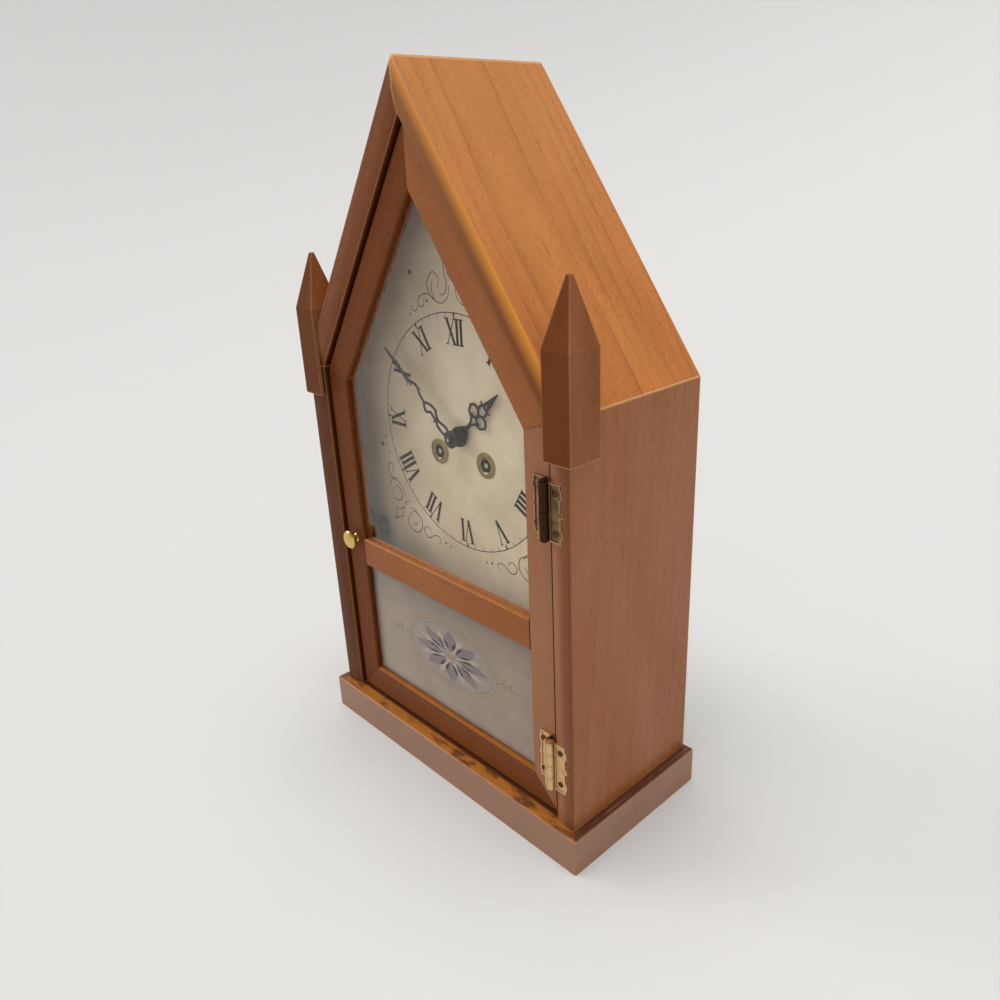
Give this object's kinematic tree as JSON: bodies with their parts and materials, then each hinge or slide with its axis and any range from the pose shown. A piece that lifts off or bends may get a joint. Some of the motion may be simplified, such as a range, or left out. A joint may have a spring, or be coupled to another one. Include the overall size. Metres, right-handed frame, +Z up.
{
  "type": "steeple clock",
  "caption": "Steeple clock: gabled wooden case with two corner spires, glazed hinged door, Roman dial, serpentine hands and a key-wound pendulum movement.",
  "frame": {"origin": "centre of the underside of the plinth", "axes": "+X to the right seen from the front, +Y to the back, +Z up"},
  "size_m": [0.28, 0.144, 0.5],
  "materials": {
    "case_wood": "lacquered reddish brown",
    "door_wood": "lacquered reddish brown",
    "inner_wood": "plain, unfinished",
    "back_board": "stained, dull",
    "glass_clear": "clear, polished",
    "glass_painted": "frosted and painted from behind",
    "dial_paint": "cream, printed in black",
    "hand_black": "black, satin",
    "brass_worn": "antiqued",
    "brass_bright": "polished and lacquered",
    "brass_movement": "satin",
    "steel": "satin",
    "iron": "black painted",
    "magnet_dark": "dull black"
  },
  "bodies": {
    "case": {"base_plinth": "case_wood", "side_board_left": "case_wood", "side_board_right": "case_wood", "roof_board_left": "case_wood", "roof_board_right": "case_wood", "spire_left": "case_wood", "spire_right": "case_wood", "back_gable": "back_board", "dial_plate": "dial_paint", "dial_board": "inner_wood", "dial_cleats": "inner_wood", "dial_screws": "brass_worn", "winding_grommets": "brass_worn", "hinge_leaves_case": "brass_worn", "hinge_pins": "brass_worn", "hinge_screws_case": "brass_worn", "magnet_catch": "magnet_dark", "front_plate": "brass_movement", "back_plate": "brass_movement", "plate_pillars": "steel", "sounding_block": "iron", "sounding_rods": "steel", "back_hinges_case": "brass_worn"},
    "door": {"door_stile_left": "door_wood", "door_stile_right": "door_wood", "door_rafter_left": "door_wood", "door_rafter_right": "door_wood", "door_mid_rail": "door_wood", "door_bottom_rail": "door_wood", "door_glass_upper": "glass_clear", "door_glass_lower": "glass_painted", "glazing_beads": "door_wood", "door_knob": "brass_bright", "hinge_leaves_door": "brass_worn", "hinge_screws_door": "brass_worn", "catch_plate": "steel"},
    "back_door": {"back_door": "back_board", "back_hinges_door": "brass_worn", "back_door_knob": "case_wood"},
    "minute_arbor": {"centre_wheel": "brass_movement", "cannon_pinion": "steel", "minute_hand": "hand_black", "hand_nut": "hand_black"},
    "hour_arbor": {"hour_wheel": "brass_movement", "hour_hand": "hand_black"},
    "minute_wheel": {"minute_wheel": "brass_movement"},
    "going_second": {"going_second_wheel": "brass_movement"},
    "going_barrel": {"going_barrel": "brass_movement"},
    "going_winding": {"going_winding_arbor": "steel"},
    "third": {"third_wheel": "brass_movement"},
    "escape": {"escape_wheel": "brass_movement"},
    "verge": {"verge_and_crutch": "steel"},
    "pendulum": {"pendulum": "brass_movement"},
    "strike_barrel": {"strike_barrel": "brass_movement"},
    "strike_winding": {"strike_winding_arbor": "steel"},
    "strike_second": {"strike_second_wheel": "brass_movement"},
    "strike_pin": {"strike_pin_wheel": "brass_movement"},
    "strike_warning": {"strike_warning_wheel": "brass_movement"},
    "strike_fly": {"strike_fly": "brass_movement"},
    "hammer": {"strike_hammer": "steel"}
  },
  "joints": [
    {"name": "door_hinge", "type": "hinge", "parent": "case", "child": "door", "pos_m": [0.114, -0.061, 0.16], "axis": [0, 0, 1], "range_deg": [0, 115]},
    {"name": "back_door_hinge", "type": "hinge", "parent": "case", "child": "back_door", "pos_m": [-0.1222, 0.065, 0.16], "axis": [0, 0, 1], "range_deg": [0, 100]},
    {"name": "minute_arbor_turn", "type": "hinge", "parent": "case", "child": "minute_arbor", "pos_m": [0, 0, 0.2671], "axis": [0, 1, 0], "continuous": true},
    {"name": "hour_turn", "type": "hinge", "parent": "case", "child": "hour_arbor", "pos_m": [0, 0, 0.2671], "axis": [0, 1, 0], "continuous": true},
    {"name": "minute_wheel_turn", "type": "hinge", "parent": "case", "child": "minute_wheel", "pos_m": [-0.01022, 0, 0.27732], "axis": [0, 1, 0], "continuous": true},
    {"name": "going_second_turn", "type": "hinge", "parent": "case", "child": "going_second", "pos_m": [0.01959, 0, 0.27375], "axis": [0, 1, 0], "continuous": true},
    {"name": "going_barrel_turn", "type": "hinge", "parent": "case", "child": "going_barrel", "pos_m": [0.0244, 0, 0.2511], "axis": [0, 1, 0], "continuous": true},
    {"name": "third_turn", "type": "hinge", "parent": "case", "child": "third", "pos_m": [0, 0, 0.28696], "axis": [0, 1, 0], "continuous": true},
    {"name": "escape_turn", "type": "hinge", "parent": "case", "child": "escape", "pos_m": [0, 0, 0.3055], "axis": [0, 1, 0], "continuous": true},
    {"name": "going_winding_turn", "type": "hinge", "parent": "case", "child": "going_winding", "pos_m": [0.0244, 0, 0.2511], "axis": [0, 1, 0], "range_deg": [0, 2880]},
    {"name": "strike_winding_turn", "type": "hinge", "parent": "case", "child": "strike_winding", "pos_m": [-0.0244, 0, 0.2511], "axis": [0, 1, 0], "range_deg": [0, 2880]},
    {"name": "strike_pin_turn", "type": "hinge", "parent": "case", "child": "strike_pin", "pos_m": [-0.02523, 0, 0.29222], "axis": [0, 1, 0], "continuous": true},
    {"name": "strike_second_turn", "type": "hinge", "parent": "case", "child": "strike_second", "pos_m": [-0.01959, 0, 0.27375], "axis": [0, 1, 0], "continuous": true},
    {"name": "strike_barrel_turn", "type": "hinge", "parent": "case", "child": "strike_barrel", "pos_m": [-0.0244, 0, 0.2511], "axis": [0, 1, 0], "continuous": true},
    {"name": "strike_warning_turn", "type": "hinge", "parent": "case", "child": "strike_warning", "pos_m": [-0.02217, 0, 0.30799], "axis": [0, 1, 0], "continuous": true},
    {"name": "strike_fly_turn", "type": "hinge", "parent": "case", "child": "strike_fly", "pos_m": [-0.02894, 0, 0.31698], "axis": [0, 1, 0], "continuous": true},
    {"name": "pendulum_swing", "type": "hinge", "parent": "case", "child": "pendulum", "pos_m": [0, 0, 0.31975], "axis": [0, 1, 0], "range_deg": [-4, 4]},
    {"name": "verge_swing", "type": "hinge", "parent": "case", "child": "verge", "pos_m": [0, 0, 0.31975], "axis": [0, 1, 0], "range_deg": [-4, 4]},
    {"name": "hammer_swing", "type": "hinge", "parent": "case", "child": "hammer", "pos_m": [-0.04173, 0, 0.29222], "axis": [0, 1, 0], "range_deg": [-12, 0]}
  ],
  "couplings": [
    {"joint": "hour_turn", "follows": "minute_arbor_turn", "ratio": 0.083333},
    {"joint": "minute_wheel_turn", "follows": "minute_arbor_turn", "ratio": -0.33333},
    {"joint": "going_second_turn", "follows": "minute_arbor_turn", "ratio": -0.25},
    {"joint": "going_barrel_turn", "follows": "minute_arbor_turn", "ratio": 0.041667},
    {"joint": "third_turn", "follows": "minute_arbor_turn", "ratio": -10},
    {"joint": "escape_turn", "follows": "minute_arbor_turn", "ratio": 100},
    {"joint": "strike_second_turn", "follows": "strike_pin_turn", "ratio": -0.16667},
    {"joint": "strike_barrel_turn", "follows": "strike_pin_turn", "ratio": 0.027778},
    {"joint": "strike_warning_turn", "follows": "strike_pin_turn", "ratio": -7},
    {"joint": "strike_fly_turn", "follows": "strike_pin_turn", "ratio": 42},
    {"joint": "verge_swing", "follows": "pendulum_swing", "ratio": 1}
  ]
}
